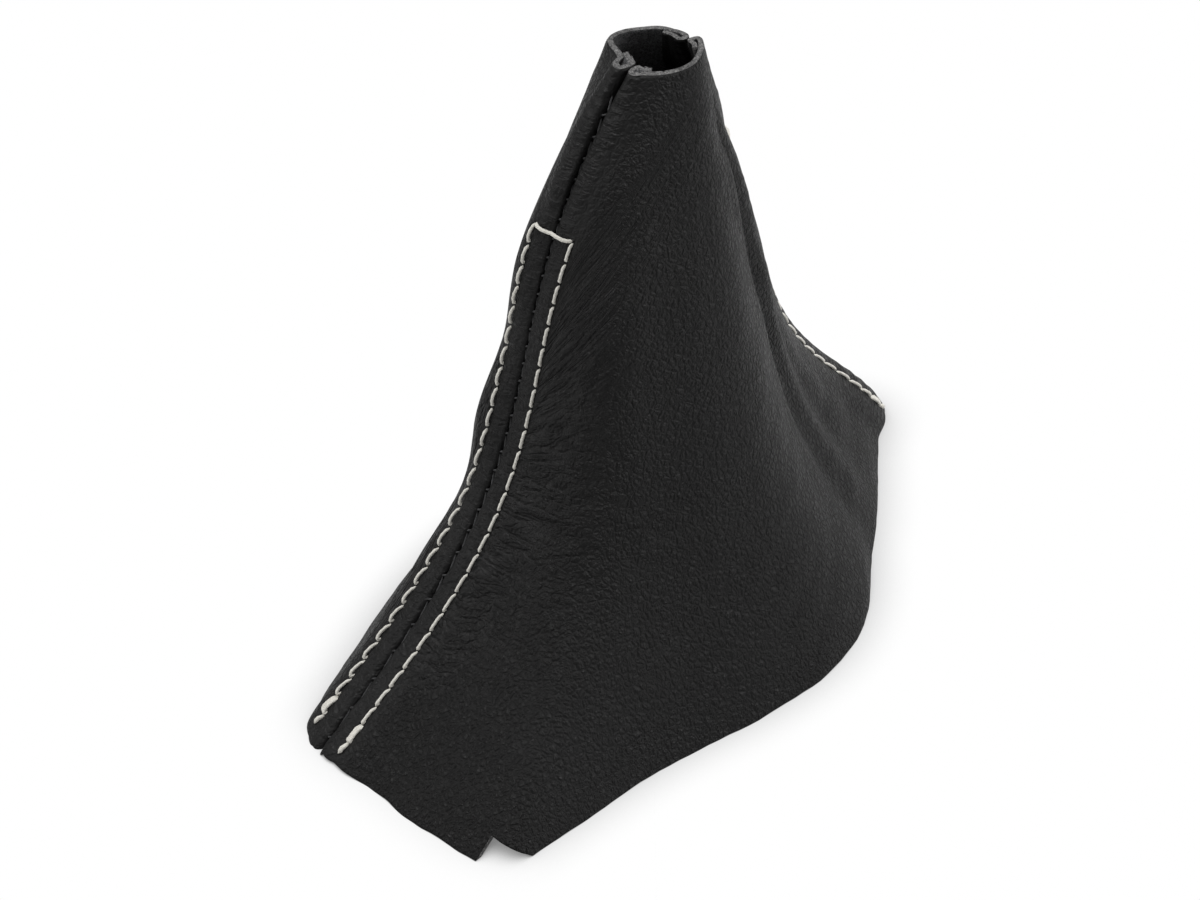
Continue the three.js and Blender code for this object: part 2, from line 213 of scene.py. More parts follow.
def sample(table, x, y):
    """A table's value between its cells, with soft steps, wrapping round at its ends."""
    x0, y0 = np.floor(x).astype(int), np.floor(y).astype(int)
    fx, fy = smoothstep(x - x0), smoothstep(y - y0)
    nx, ny = table.shape
    x0, x1, y0, y1 = x0 % nx, (x0 + 1) % nx, y0 % ny, (y0 + 1) % ny
    low = table[x0, y0] * (1 - fx) + table[x1, y0] * fx
    high = table[x0, y1] * (1 - fx) + table[x1, y1] * fx
    return low * (1 - fy) + high * fy


def noise(x, y, seed):
    """Smooth noise from -1 to 1 that changes about once per unit."""
    table = np.random.default_rng(seed).uniform(-1, 1, (128, 128))
    return sample(table, x, y)


# The walls that the two panels follow.


def main_base_edge(corner_round):
    side_corner = np.array([SIDE_REACH + SIDE_TURN / 2, -SIDE_WIDTH])
    tail_corner = np.array([BASE_LENGTH, -TAIL_STRIP])
    side = tail_corner - side_corner
    side_end = side_corner + side * SIDE_TURN / 2 / side[0]
    tail_start = tail_corner - side * TAIL_STRIP / side[0]
    bulge = np.array([side[1], -side[0]]) / np.linalg.norm(side) * 2 * SIDE_BULGE
    bow = FRONT_BOW * CORNER_ROUND / corner_round
    corner_x = -bow * 0.7
    front_end = corner_round - FRONT_WIDTH
    straight_end = max(SIDE_STRAIGHT, corner_x + corner_round)
    widening = (straight_end + SIDE_REACH) / 2
    before = (corner_x, front_end)
    after = (corner_x + corner_round, -FRONT_WIDTH)
    straight = (straight_end, -FRONT_WIDTH)
    reach = (SIDE_REACH, -SIDE_WIDTH)
    return np.concatenate([
        bezier((0, 0), (-bow, front_end * 0.22), (-bow * 1.3, front_end * 0.65), before),
        bezier(before, (corner_x, -FRONT_WIDTH), after),
        bezier(after, straight),
        bezier(straight, (widening, -FRONT_WIDTH), (widening, -SIDE_WIDTH), reach),
        bezier(reach, side_corner, side_end),
        bezier(side_end, (side_end + tail_start) / 2 + bulge, tail_start),
        bezier(tail_start, tail_corner, (BASE_LENGTH, 0)),
    ])


def rear_base_edge():
    third = BASE_LENGTH / 3
    blunt = (BASE_LENGTH - TAIL_STRIP, TAIL_STRIP * 1.4)
    middle = (BASE_LENGTH / 2, REAR_BOW)
    strip = (REAR_STRIP * 1.2, REAR_STRIP * 1.5)
    end = (REAR_STRIP * 0.15, REAR_STRIP / 2)
    return np.concatenate([
        bezier((BASE_LENGTH, 0), (BASE_LENGTH, TAIL_STRIP), blunt),
        bezier(blunt, (BASE_LENGTH - third / 2, REAR_BOW * 0.6), (BASE_LENGTH - third, REAR_BOW), middle),
        bezier(middle, (third, REAR_BOW), (third / 2, REAR_BOW * 0.65), strip),
        bezier(strip, (REAR_STRIP * 0.3, REAR_STRIP), end),
        bezier(end, (0, 0)),
    ])


def neck_edge(start, end):
    if end < start:
        end += 360
    angles = np.radians(np.linspace(start, end, SECTION_POINTS))
    x = NECK_X + NECK_RADIUS * np.cos(angles)
    y = NECK_Y + NECK_RADIUS * np.sin(angles)
    return np.stack([x, y], axis=1)


def waist(level, sharpness):
    above = (1 - WAIST_LEVEL) / WAIST_LEVEL
    return (level / WAIST_LEVEL * ((1 - level) / (1 - WAIST_LEVEL)) ** above) ** sharpness


def folds(across, level):
    place = (across - FOLD_MIDDLE) / (FOLD_SPREAD / 2)
    window = np.where(np.abs(place) < 1, np.cos(place * np.pi / 2) ** 2, 0)
    return FOLD_DEPTH * window * np.sin(place * np.pi * FOLD_COUNT) * np.sin(np.pi * level ** 0.7)


def puff(across, level):
    """The rear panel's puff beside the front seam. The looks let it hang slack in two places."""
    place = np.minimum((1 - across) / PUFF_SPREAD, 1)
    z = HEIGHT * level
    swing = SLACK_SWING * np.cos(2 * np.pi * (z - SLACK_DEEPEST) / SLACK_PITCH)
    slack = (SLACK_DEPTH + swing) * hump((z - SLACK_HEIGHT) / SLACK_REACH)
    return (PUFF * np.sin(np.pi * level) - slack) * np.sin(np.pi * place) ** 2


def beside_tail(z):
    """1 where the tail seam is drawn in, 0 near the ground and near the neck."""
    return fade(z, *TUCK_LOW) * fade(z, *TUCK_HIGH)


def at_neck(level):
    return fade(level, 1 - NECK_REACH, 1)


def main_push(across, level):
    return folds(across, level) - NECK_TURN * fade(across, 0.85, 1) * at_neck(level)


def rear_push(across, level):
    place = np.clip((across - 1 + FLAT_SHARE) / FLAT_SHARE, 0, 1)
    pressed = NECK_FLAT * np.sin(np.pi * place) + NECK_PRESS * fade(across, 0.65, 0.35)
    return puff(across, level) - pressed * at_neck(level)


def waist_across(first, middle, last):
    def depth(across):
        seams = first + (last - first) * across
        return seams + (middle - seams) * np.sin(np.pi * across) ** 2
    return depth


class Wall:
    """A wall from one seam to the other. A place on it is a distance along a level section."""

    def __init__(self, base, eased, neck, depth, push, tailward):
        self.base = respaced(base)
        self.eased = respaced(eased)
        self.neck = respaced(neck)
        self.depth = depth
        self.push = push
        self.sharpness = FRONT_SHARPNESS + (TAIL_SHARPNESS - FRONT_SHARPNESS) * tailward
        self.drift = TAIL_DRIFT * fade(tailward, TAIL_SPREAD, 1)
        self.tuck = TAIL_TUCK * fade(tailward, TUCK_SPREAD, 1)

    def plan(self, level):
        inward = (level + self.depth(ACROSS) * waist(level, self.sharpness))[:, None]
        foot = self.base + (self.eased - self.base) * smoothstep(level / CORNER_EASE)
        line = foot + (self.neck - foot) * inward
        line[:, 0] -= LEAN * math.sin(math.pi * level ** 2)
        line[:, 1] += self.drift * math.sin(math.pi * level) + self.tuck * beside_tail(HEIGHT * level)
        return respaced(line + outward(line) * self.push(ACROSS, level)[:, None])

    def section(self, level):
        """The level section, the level step that moves its points out by 1 mm, and its length."""
        line = self.plan(level)
        out = outward(line)
        above, below = min(level + 0.004, 1), max(level - 0.004, 0)
        climb = (self.plan(above) - self.plan(below)) / (HEIGHT * (above - below))
        stretch = np.sqrt(1 + np.sum(out * climb, axis=1) ** 2)
        return line, out * stretch[:, None], np.linalg.norm(np.diff(line, axis=0), axis=1).sum()

    def points(self, along, level, out):
        line, step, width = self.section(level)
        share = np.clip(np.asarray(along, float) / width, 0, 1)
        x, y = (np.interp(share, ACROSS, line[:, i]) for i in (0, 1))
        dx, dy = (np.interp(share, ACROSS, step[:, i]) for i in (0, 1))
        z = np.full_like(x, HEIGHT * level)
        return np.stack([x + dx * out - ORIGIN[0], y + dy * out - ORIGIN[1], z], axis=-1)

    def width(self, level):
        return self.section(level)[2]


main_wall = Wall(
    main_base_edge(CORNER_ROUND), main_base_edge(CORNER_ROUND_ABOVE),
    neck_edge(FRONT_SEAM_ANGLE, TAIL_SEAM_ANGLE),
    waist_across(FRONT_WAIST, SIDE_WAIST, TAIL_WAIST), main_push, ACROSS,
)
rear_wall = Wall(
    rear_base_edge(), rear_base_edge(),
    neck_edge(TAIL_SEAM_ANGLE, FRONT_SEAM_ANGLE),
    waist_across(TAIL_WAIST, SIDE_WAIST, FRONT_WAIST), rear_push, 1 - ACROSS,
)


def seam_side(wall, starts_here):
    """The places beside a seam, by the distance from it, a level and the distance out."""
    def side(from_seam, level, out):
        along = from_seam if starts_here else wall.width(level) - from_seam
        return wall.points([along], level, out)[0]
    return side


main_front = seam_side(main_wall, True)
main_tail = seam_side(main_wall, False)
rear_tail = seam_side(rear_wall, True)
rear_front = seam_side(rear_wall, False)


def stitch_heights(side):
    """The heights of a stitch row's needle holes, from its low end to its top."""
    levels = np.linspace(LOW_STITCH_HEIGHT, TOP_STITCH_HEIGHT, 61) / HEIGHT
    row = np.array([side(ROW_OFFSET, level, 0) for level in levels])
    length = np.linalg.norm(np.diff(row, axis=0), axis=1).sum()
    return respaced(row, round(length / STITCH_PITCH) + 1)[:, 2]


holes = {side: stitch_heights(side) for side in (main_front, main_tail, rear_front, rear_tail)}


# The leather's relief.


def strip_places(width):
    trim = min(1, STRIP_SHARE * width / (ALLOWANCE + STEP_WIDTH))
    return ROW_OFFSET * trim, ALLOWANCE * trim, (ALLOWANCE + STEP_WIDTH) * trim


def roll_shape(from_seam, row):
    """A strip's round back between its seam and its stitch row, from 0 to 1."""
    return np.where(from_seam < row, np.sin(np.pi * np.clip(from_seam / row, 0, 1)), 0)


def stitch_phase(z, heights):
    """A place's position along a stitch row, a whole number at each needle hole."""
    ends = heights[0] - STITCH_PITCH / 2, heights[-1] + STITCH_PITCH / 2
    count = len(heights)
    return np.interp(z, [ends[0], *heights, ends[1]], [-0.5, *range(count), count - 0.5])


def seam_relief(from_seam, z, strip, heights, open_roll):
    """How far the doubled strip beside a seam stands out: its step, its roll and its stitch row."""
    row, allowance, end = strip
    down = fade(from_seam, allowance, end) * fade(z / HEIGHT, 1, BRIDGE_START)
    above = fade(z, TOP_STITCH_HEIGHT + 1, TOP_STITCH_HEIGHT + 11)
    roll = ROLL * roll_shape(from_seam, row) * (1 + open_roll * above)
    stitched = fade(z, TOP_STITCH_HEIGHT + 1, TOP_STITCH_HEIGHT - 1)
    stitched = stitched * fade(z, LOW_STITCH_HEIGHT - 2, LOW_STITCH_HEIGHT)
    drawn = np.cos(2 * np.pi * stitch_phase(z, heights))
    trough = STITCH_TROUGH * hump((from_seam - row) / TROUGH_REACH) * stitched * (1 + 0.5 * drawn)
    quilt = QUILT * hump((from_seam - row / 2) / (row / 2)) * stitched * drawn
    pulled = PULL * hump((from_seam - BEND_START) / PULL_REACH) * np.cos(2 * np.pi * z / PULL_PITCH)
    return LAYERS * (1 - down) + roll - trough - quilt - pulled


def fan_table():
    """For places beside the front seam, the height at which the wrinkle that runs there leaves the seam."""
    starts = np.linspace(-60, 200, 521)
    slopes = np.interp(starts, FAN_HEIGHTS, FAN_SLOPES)
    heights = np.linspace(0, HEIGHT, FAN_ROWS)
    reach = np.maximum(np.arange(FAN_WIDTH) - ROW_OFFSET, 0)
    return np.array([np.interp(heights, starts + slopes * across, starts) for across in reach])


FAN = fan_table()


def fan_start(a, z):
    x = np.clip(a, 0, FAN_WIDTH - 1.1)
    y = np.clip(z / HEIGHT * (FAN_ROWS - 1), 0, FAN_ROWS - 1.1)
    x0, y0 = x.astype(int), y.astype(int)
    fx, fy = x - x0, y - y0
    low = FAN[x0, y0] * (1 - fx) + FAN[x0 + 1, y0] * fx
    high = FAN[x0, y0 + 1] * (1 - fx) + FAN[x0 + 1, y0 + 1] * fx
    return low * (1 - fy) + high * fy


def ridges(x, y, seed):
    """Rounded ridges between narrow valleys, about one for each unit of x, around 0."""
    return np.abs(noise(x, y, seed)) ** 0.8 - 0.42


def crease(a, z, path, reach, pitch, wander, length, seed):
    """A band of ridges along a path, which is given by distances from the front seam and heights."""
    off = z - np.interp(a, *zip(*path))
    place = off / pitch + 0.5 * noise(a / wander, z / wander, seed)
    return hump(off / reach) * ridges(place, a / length, seed + 1)


def swells(a, z, coarse, fine, seed):
    """Soft swells of two sizes, and a small ripple."""
    large = noise(a / coarse[0], z / coarse[1], seed)
    small = noise(a / fine[0], z / fine[1], seed + 1)
    return SWELL * (large + 0.5 * small) + RIPPLE * noise(a / 3.1, z / 2.6, seed + 2)


def main_relief(a, z, width):
    """The main panel's wrinkles, creases and swells, and how it stands out beside the tail seam."""
    start = fan_start(a, z)
    from_row = a - ROW_OFFSET
    window = fade(from_row, 0.5, 2.5) * np.exp(-np.maximum(from_row, 0) / FAN_REACH)
    window = window * fade(start, *WRINKLES_LOW) * fade(start, *WRINKLES_HIGH)
    wander = 0.6 * noise(a / 6, z / 6, 3)
    fan = ridges(start / 2.5 + wander, a / 13, 4) + 0.5 * ridges(start / 1.3 + wander, a / 6, 5)
    low = crease(a, z, CREASE_PATH, 7, 7 / 2.6, 9, 17, 6) * fade(a, 9, 17) * fade(a, 84, 54)
    high = crease(a, z, HIGH_CREASE_PATH, 5, 2.2, 8, 20, 8) * fade(a, 22, 32) * fade(a, 80, 60)
    creases = CREASE_DEPTH * low + HIGH_CREASE_DEPTH * high
    inside = fade(a, 8, 28) * fade(width - a, 6, 20)
    swell = swells(a, z, (24, 19), (11, 9), 10) * inside
    bulge = TAIL_BULGE * hump((width - a - BULGE_PLACE) / BULGE_REACH) * beside_tail(z)
    return FAN_DEPTH * window * fan + creases + swell + bulge


def rear_relief(a, z, width):
    """The rear panel's wrinkles beside the front seam, and its swells. a counts from the tail seam."""
    b = width - a
    from_row = b - ROW_OFFSET
    window = fade(from_row, 0.5, 2.5) * np.exp(-np.maximum(from_row, 0) / UPRIGHT_REACH)
    window = window * fade(z, *WRINKLES_LOW) * fade(z, *WRINKLES_HIGH)
    curved = b / 2.4 + 0.6 * np.sin(z / 11) + 0.4 * noise(a / 6, z / 9, 13)
    upright = FAN_DEPTH * window * ridges(curved, z / 15, 14)
    inside = fade(a, 8, 28) * fade(b, 8, 22)
    return upright + swells(a, z, (26, 21), (12, 10), 15) * inside


def main_marks(a, z, width):
    """Where the main panel's fine wrinkles run, how strong they are, and how strong its pebbles are."""
    start = fan_start(a, z)
    row = strip_places(width)[0]
    from_tail = width - a
    from_seam = np.minimum(a, from_tail)
    fan = fade(a, row, row + 1.5) * np.exp(-np.maximum(a - 11, 0) / FAN_REACH)
    fan = fan * fade(start, 8, 24) * fade(start, 110, 86)
    tail = 0.5 * fade(from_tail, row, row + 2) * np.exp(-np.maximum(from_tail - row, 0) / 9)
    strength = fan + tail * fade(z, 80, 50) + roll_marks(from_seam, row)
    return start / LINE_SPACING, from_seam / LINE_LENGTH, strength, grain_strength(from_seam, row, fan)


def rear_marks(a, z, width):
    """The same for the rear panel, where the wrinkles stand upright beside the front seam."""
    b = width - a
    row = strip_places(width)[0]
    from_seam = np.minimum(a, b)
    upright = fade(b, row, row + 1.5) * np.exp(-np.maximum(b - 12, 0) / 16)
    upright = upright * fade(z, 10, 24) * fade(z, 108, 82)
    on_roll = from_seam < row
    across = np.where(on_roll, z / LINE_SPACING, b / LINE_SPACING + 0.6 * np.sin(z / 11))
    along = np.where(on_roll, from_seam, z) / LINE_LENGTH
    strength = upright + roll_marks(from_seam, row)
    return across, along, strength, grain_strength(from_seam, row, upright)


def roll_marks(from_seam, row):
    """The strength of the puckers that cross the roll between a seam and its stitch row."""
    return 0.4 * roll_shape(from_seam, row)


def grain_strength(from_seam, row, wrinkled):
    return (0.3 + 0.7 * fade(from_seam, row, row + 7)) * (1 - 0.45 * np.minimum(wrinkled, 1))


# The panels.


def face_columns(width, shares):
    """The distances from the first seam at which a panel's face has points."""
    row, _, end = strip_places(width)
    fine = ROW_STEP * row / ROW_OFFSET
    strip = np.concatenate([
        np.linspace(BEND_START, row - 2 * fine, 5, endpoint=False),
        row + fine * np.arange(-2, 3),
        np.linspace(row + 3 * fine, end, 10),
    ])
    middle = end + (width - 2 * end) * shares
    return np.concatenate([strip, middle, width - strip[::-1]])


def bend(radius):
    """A turned edge in section: distances from the seam and heights out from the wall."""
    angles = np.linspace(0, np.pi, BEND_STEPS + 1)
    return BEND_START - radius * np.sin(angles), LAYERS - BEND - radius * np.cos(angles)


def profile(width, shares):
    """A panel's closed section: the grained side, and for each of its points the partner on the back."""
    face = face_columns(width, shares)[1:-1]
    allowance = strip_places(width)[1]
    flap = np.linspace(allowance, BEND_START, 4)[:-1]
    outer_place, outer_out = bend(BEND)
    inner_place, inner_out = bend(LAYER_GAP / 2)
    grain_place = np.concatenate([flap, outer_place, face, width - outer_place[::-1], width - flap[::-1]])
    back_place = np.concatenate([flap, inner_place, face, width - inner_place[::-1], width - flap[::-1]])
    on_face = np.zeros(len(grain_place), bool)
    on_face[len(flap) + len(outer_place):-len(flap) - len(outer_place)] = True
    grain_out = np.zeros(len(grain_place))
    back_out = np.zeros(len(grain_place))
    for out, flap_out, turn in ((grain_out, -LEATHER, outer_out), (back_out, 0, inner_out)):
        turned = np.concatenate([np.full(len(flap), flap_out), turn])
        out[:len(turned)] = turned
        out[-len(turned):] = turned[::-1]
    return grain_place, grain_out, back_place, back_out, on_face


def panel_grid(wall, shares, relief, marks, first, last):
    """Points of the grained side and of the back, their places, and what their looks need, by level."""
    grain, back, places, looks = [], [], [], []
    for level in (np.arange(LEVELS + 1) / LEVELS) ** 1.1:
        width = wall.width(level)
        strip = strip_places(width)
        place, out, back_place, back_out, on_face = profile(width, shares)
        z = np.full_like(place, HEIGHT * level)
        from_last = width - place
        nearer_last = from_last < place
        lift = np.where(
            nearer_last, seam_relief(from_last, z, strip, *last), seam_relief(place, z, strip, *first),
        )
        face_out = lift + relief(place, z, width)
        edge_lift = np.interp(place, place[on_face], face_out[on_face]) - LAYERS
        turned = smoothstep((out + LEATHER) / (LAYERS + LEATHER)) * edge_lift
        grain_out = np.where(on_face, face_out, out + turned)
        behind = np.where(on_face, face_out - LEATHER, back_out + turned * (out > LAYERS - BEND))
        grain.append(wall.points(place, level, grain_out))
        back.append(wall.points(back_place, level, behind))
        places.append(np.stack([place, on_face], axis=1))
        phase = np.where(nearer_last, stitch_phase(z, last[0]), stitch_phase(z, first[0]))
        across, along, strength, pebbles = marks(place, z, width)
        from_row = np.minimum(place, from_last) - strip[0]
        looks.append(np.stack([across, along, strength, from_row, phase, pebbles], axis=1))
    return np.array(grain), np.array(back), np.array(places), np.array(looks)


def reshape_ends(points, base_z, top_z):
    """Moves each column's ends to their own heights, and keeps the column on the wall's form."""
    z = points[:, :, 2]
    low = base_z * fade(z, FOOT_REACH, 0)
    high = top_z * fade(z, HEIGHT - RIM_REACH, HEIGHT)
    wanted = z + low + high
    moved = points.copy()
    for column in range(points.shape[1]):
        heights = z[:, column]
        for axis in (0, 1):
            ends = points[:, column, axis]
            slope = (ends[-1] - ends[-4]) / (heights[-1] - heights[-4])
            beyond = np.maximum(wanted[:, column] - heights[-1], 0) * slope
            moved[:, column, axis] = np.interp(wanted[:, column], heights, ends) + beyond
    moved[:, :, 2] = wanted
    return moved


def cut_rows(grain_edge, back_edge, hollow, seed):
    """The rows of points across a cut edge, a little rough, and lower by hollow beside its corners."""
    rough = np.random.default_rng(seed)
    rows = []
    for share in (0.12, 0.36, 0.64, 0.88):
        row = grain_edge * (1 - share) + back_edge * share
        corner = hollow if share in (0.12, 0.88) else 0
        row[:, 2] -= corner + 0.6 * hollow * rough.uniform(-1, 1, len(row))
        rows.append(row)
    return rows


def panel_mesh(name, grain, back, looks, materials):
    """One closed mesh: grained side, back, and the cut edges between them."""
    levels, count = grain.shape[:2]
    size = 2 * count
    index = np.arange(levels * size).reshape(levels, size)
    after = np.roll(index, -1, axis=1)
    quads = [np.stack([index[:-1], index[1:], after[1:], after[:-1]], axis=-1).reshape(-1, 4)]
    kinds = [np.tile(np.r_[np.zeros(count - 1), 2, np.ones(count - 1), 2], levels - 1)]
    vertices = [np.concatenate([grain, back[:, ::-1]], axis=1).reshape(-1, 3)]
    features = [np.concatenate([looks, looks[:, ::-1]], axis=1).reshape(-1, looks.shape[2])]
    total = levels * size
    for level, hollow in ((0, 0), (levels - 1, 0.2)):
        rows = [index[level, :count]]
        for row in cut_rows(grain[level], back[level], hollow, 21):
            vertices.append(row)
            features.append(looks[level])
            rows.append(total + np.arange(count))
            total += count
        rows.append(index[level, :count - 1:-1])
        for a, b in zip(rows, rows[1:]):
            strip = np.stack([a[:-1], a[1:], b[1:], b[:-1]], axis=-1)
            quads.append(strip if level == 0 else strip[:, ::-1])
            kinds.append(np.full(count - 1, 2))
    mesh = bpy.data.meshes.new(name)
    mesh.from_pydata((np.concatenate(vertices) * MM).tolist(), [], np.concatenate(quads).tolist())
    for material in materials:
        mesh.materials.append(material)
    mesh.polygons.foreach_set("material_index", np.concatenate(kinds).astype(np.int32))
    mesh.polygons.foreach_set("use_smooth", np.ones(len(mesh.polygons), bool))
    features = np.concatenate(features)
    store(mesh, "wrinkles", features[:, :3])
    store(mesh, "stitches", features[:, 3:])
    mesh.validate()
    mesh.update()
    return linked(name, mesh)


def store(mesh, name, values):
    """Keeps three values for each of a mesh's points, for its material."""
    layer = mesh.attributes.new(name, "FLOAT_VECTOR", "POINT")
    layer.data.foreach_set("vector", values.astype(np.float32).ravel())


def linked(name, mesh):
    piece = bpy.data.objects.new(name, mesh)
    bpy.context.scene.collection.objects.link(piece)
    return piece


# Materials.


def new_material(name):
    material = bpy.data.materials.new(name)
    material.use_nodes = True
    return material, material.node_tree, material.node_tree.nodes["Principled BSDF"]


def node(tree, kind, *values, settings=None, **inputs):
    """A new node. Its inputs, in order or by name, are set to values or linked to other nodes."""
    made = tree.nodes.new(kind)
    for name, value in (settings or {}).items():
        setattr(made, name, value)
    named = [(made.inputs[name.replace("_", " ")], value) for name, value in inputs.items()]
    for socket, value in [*zip(made.inputs, values), *named]:
        if isinstance(value, bpy.types.NodeSocket):
            tree.links.new(value, socket)
        else:
            socket.default_value = value
    return made


def maths(tree, operation, *values):
    return node(tree, "ShaderNodeMath", *values, settings={"operation": operation}).outputs[0]


def ramp(tree, value, start, end, low, high):
    """A value that goes softly from low to high while the given one goes from start to end."""
    soft = {"interpolation_type": "SMOOTHSTEP"}
    return node(tree, "ShaderNodeMapRange", value, start, end, low, high, settings=soft).outputs[0]


def blend(tree, factor, dark, light, start, end):
    """A colour between two, by where the factor lies between start and end."""
    made = node(tree, "ShaderNodeValToRGB", factor)
    for element, place, colour in zip(made.color_ramp.elements, (start, end), (dark, light)):
        element.position = place
        element.color = (*colour, 1)
    return made.outputs["Color"]


def attribute_parts(tree, name):
    stored = node(tree, "ShaderNodeAttribute", settings={"attribute_name": name})
    return node(tree, "ShaderNodeSeparateXYZ", stored.outputs["Vector"]).outputs


def bump(tree, height, size, strength, normal=None):
    made = node(tree, "ShaderNodeBump", Height=height, Distance=size * MM, Strength=strength)
    if normal:
        tree.links.new(normal, made.inputs["Normal"])
    return made.outputs["Normal"]


def thin_lines(tree, place, scale):
    """Thin wandering ridges, from 0 to 1, about one for each unit of the place's X."""
    field = node(tree, "ShaderNodeTexNoise", Vector=place, Scale=scale, Detail=2, Distortion=0.6)
    off = maths(tree, "ABSOLUTE", maths(tree, "SUBTRACT", field.outputs["Fac"], 0.5))
    return ramp(tree, off, 0, 0.13, 1, 0)


def pebble_grain(tree, place):
    """Rounded pebbles in two sizes, with narrow valleys between them."""
    warp = node(tree, "ShaderNodeTexNoise", Vector=place, Scale=330, Detail=2).outputs["Color"]
    steps = (0.9 * MM,) * 3
    shift = node(tree, "ShaderNodeVectorMath", warp, steps, place, settings={"operation": "MULTIPLY_ADD"})
    domes = []
    for scale, height in ((560, 1.0), (1250, 0.45)):
        edges = {"feature": "DISTANCE_TO_EDGE"}
        cells = node(tree, "ShaderNodeTexVoronoi", Vector=shift.outputs[0], Scale=scale, settings=edges)
        domes.append(ramp(tree, cells.outputs["Distance"], 0, 0.3, 0, height))
    return maths(tree, "ADD", *domes)


def needle_holes(tree, from_row, phase):
    """1 in each needle hole of the stitch rows, 0 elsewhere."""
    off = maths(tree, "SUBTRACT", phase, maths(tree, "ROUND", phase))
    along = maths(tree, "MULTIPLY", off, STITCH_PITCH)
    squares = maths(tree, "ADD", maths(tree, "POWER", from_row, 2), maths(tree, "POWER", along, 2))
    return ramp(tree, maths(tree, "SQRT", squares), 0.6 * HOLE_RADIUS, 1.3 * HOLE_RADIUS, 1, 0)


def leather_material():
    """Black leather: fine wrinkles where the seams draw it in, soft pebbles, and needle holes. Its colour
    holds painted shade in the needle holes and a painted highlight along the fine wrinkle lines.
    """
    material, tree, shader = new_material("grained_leather")
    place = node(tree, "ShaderNodeTexCoord").outputs["Object"]
    across, along, wrinkled = attribute_parts(tree, "wrinkles")
    from_row, phase, grained = attribute_parts(tree, "stitches")
    patches = node(tree, "ShaderNodeTexNoise", Vector=place, Scale=45, Detail=4).outputs["Fac"]
    pebbles = pebble_grain(tree, place)
    grain = maths(tree, "MULTIPLY", pebbles, grained)
    grain = maths(tree, "MULTIPLY", grain, ramp(tree, patches, 0.3, 0.6, 0.6, 1.1))
    run = node(tree, "ShaderNodeCombineXYZ", across, along, 0).outputs[0]
    finer = maths(tree, "MULTIPLY", thin_lines(tree, run, 1.9), 0.4)
    lines = maths(tree, "MULTIPLY", maths(tree, "ADD", thin_lines(tree, run, 1), finer), wrinkled)
    hole = needle_holes(tree, from_row, phase)
    pores = node(tree, "ShaderNodeTexNoise", Vector=place, Scale=2600, Detail=3).outputs["Fac"]
    normal = bump(tree, grain, GRAIN_DEPTH, 0.85)
    normal = bump(tree, lines, LINE_DEPTH, 1, normal)
    normal = bump(tree, maths(tree, "SUBTRACT", 1, hole), HOLE_DEPTH, 0.9, normal)
    tree.links.new(bump(tree, pores, PORE_DEPTH, 0.25, normal), shader.inputs["Normal"])
    tint = blend(tree, patches, (0.006, 0.0059, 0.006), (0.0088, 0.0086, 0.0086), 0.35, 0.68)
    # Painted shade: the colour falls to 0.15 of itself in the needle holes.
    dark = ramp(tree, hole, 0, 1, 1, 0.15)
    # Painted highlight: the colour grows up to twice as light along the fine wrinkle lines.
    hole_shade_and_wrinkle_highlight = maths(tree, "MULTIPLY", dark, ramp(tree, lines, 0, 1, 1, 2))
    shade = node(tree, "ShaderNodeVectorMath", tint, Scale=hole_shade_and_wrinkle_highlight, settings={"operation": "SCALE"})
    tree.links.new(shade.outputs[0], shader.inputs["Base Color"])
    tree.links.new(ramp(tree, pebbles, 0, 1.4, 0.58, 0.44), shader.inputs["Roughness"])
    shader.inputs["Specular IOR Level"].default_value = 0.18
    return material


def suede_material(name, dark, light, bump_size):
    """The fibrous back of the leather, or its cut edge."""
    material, tree, shader = new_material(name)
    place = node(tree, "ShaderNodeTexCoord").outputs["Object"]
    shape = {"Scale": 1500, "Detail": 6, "Roughness": 0.75, "Distortion": 1.2}
    fibres = node(tree, "ShaderNodeTexNoise", Vector=place, **shape).outputs["Fac"]
    tree.links.new(blend(tree, fibres, dark, light, 0.42, 0.72), shader.inputs["Base Color"])
    tree.links.new(bump(tree, fibres, bump_size, 0.9), shader.inputs["Normal"])
    shader.inputs["Roughness"].default_value = 0.95
    shader.inputs["Specular IOR Level"].default_value = 0.2
    shader.inputs["Sheen Weight"].default_value = 0.15
    return material


def thread_material(name, dark, light):
    """Sewing thread: fine fibres along a twisted strand."""
    material, tree, shader = new_material(name)
    place = node(tree, "ShaderNodeTexCoord").outputs["Object"]
    fibres = node(tree, "ShaderNodeTexNoise", Vector=place, Scale=4200, Detail=4).outputs["Fac"]
    tree.links.new(blend(tree, fibres, dark, light, 0.3, 0.6), shader.inputs["Base Color"])
    tree.links.new(bump(tree, fibres, 0.05, 0.5), shader.inputs["Normal"])
    shader.inputs["Roughness"].default_value = 0.7
    shader.inputs["Sheen Weight"].default_value = 0.2
    return material


leather = leather_material()
suede = suede_material("suede_back", (0.016, 0.016, 0.017), (0.17, 0.17, 0.175), 0.3)
cut_edge = suede_material("cut_edge", (0.028, 0.028, 0.029), (0.3, 0.295, 0.29), 0.15)
white_thread = thread_material("white_thread", (0.5, 0.48, 0.43), (0.78, 0.76, 0.7))
black_thread = thread_material("black_thread", (0.008, 0.008, 0.009), (0.03, 0.03, 0.032))


def main_shares():
    """Where the main panel's columns stand: closer together beside the front seam and at the notch."""
    strip = ALLOWANCE + STEP_WIDTH
    face = main_wall.width(0) - 2 * strip
    notch = FRONT_WIDTH + NOTCH_PLACE - strip
    before, after = notch - 8, notch + 8
    spans = ((0, before, 1.35), (before, after, 0.62), (after, 90, 2.0), (90, face, 3.1))
    places = np.concatenate([np.arange(start, end, step) for start, end, step in spans])
    return places[1:] / face


